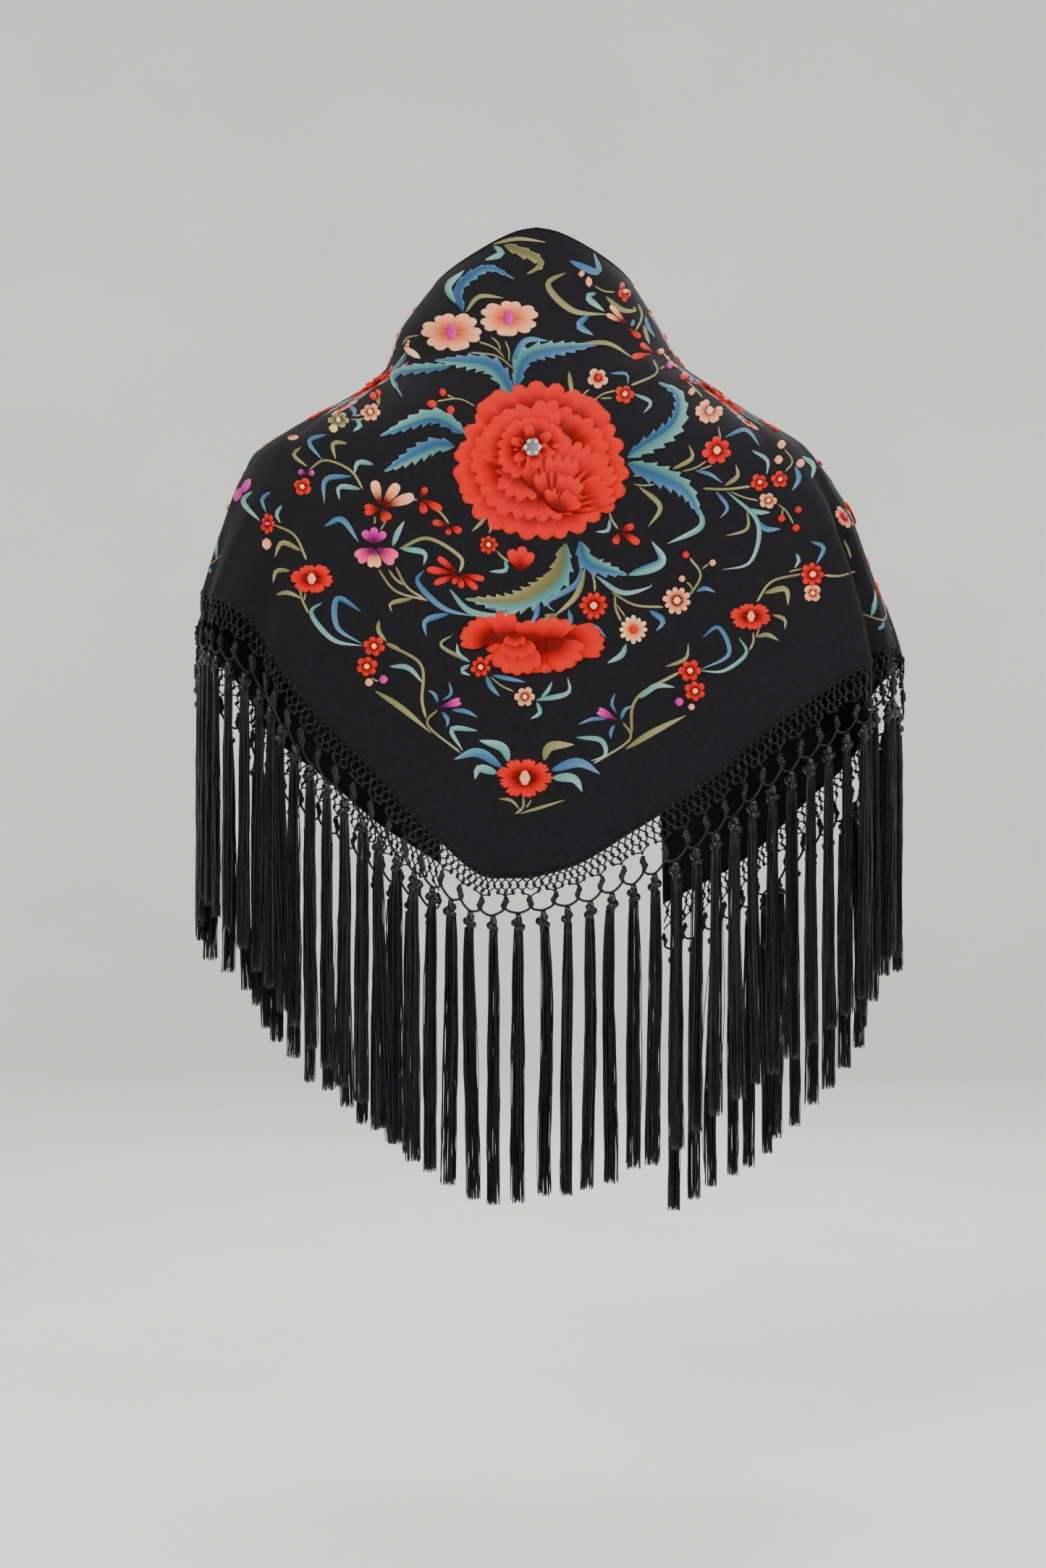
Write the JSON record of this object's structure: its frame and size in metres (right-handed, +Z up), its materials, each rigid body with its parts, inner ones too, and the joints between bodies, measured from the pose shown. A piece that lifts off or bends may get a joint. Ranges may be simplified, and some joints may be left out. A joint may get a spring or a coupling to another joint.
{
  "type": "flamenco shawl",
  "caption": "Triangular embroidered shawl, worn round the neck and over both arms, with a knotted net and long tassels along its two short edges.",
  "frame": {"origin": "on the axis of the wearer's neck, at the height of the shoulders that carry the shawl", "axes": "+Z up, +Y the way the wearer faces, so the shawl's point hangs on the -Y side, and +X to the wearer's right"},
  "size_m": [0.5442, 0.2359, 0.7506],
  "materials": {
    "cloth": "matt black crepe",
    "net": "knotted black silk cord",
    "fringe": "black silk strands with a soft sheen"
  },
  "bodies": {
    "root": {"panel": "cloth", "net_left": "net", "net_right": "net", "fringe_back_left": "fringe", "fringe_arm_left": "fringe", "fringe_chest_left": "fringe", "fringe_front_left": "fringe", "fringe_back_right": "fringe", "fringe_arm_right": "fringe", "fringe_chest_right": "fringe", "fringe_front_right": "fringe"}
  },
  "joints": []
}
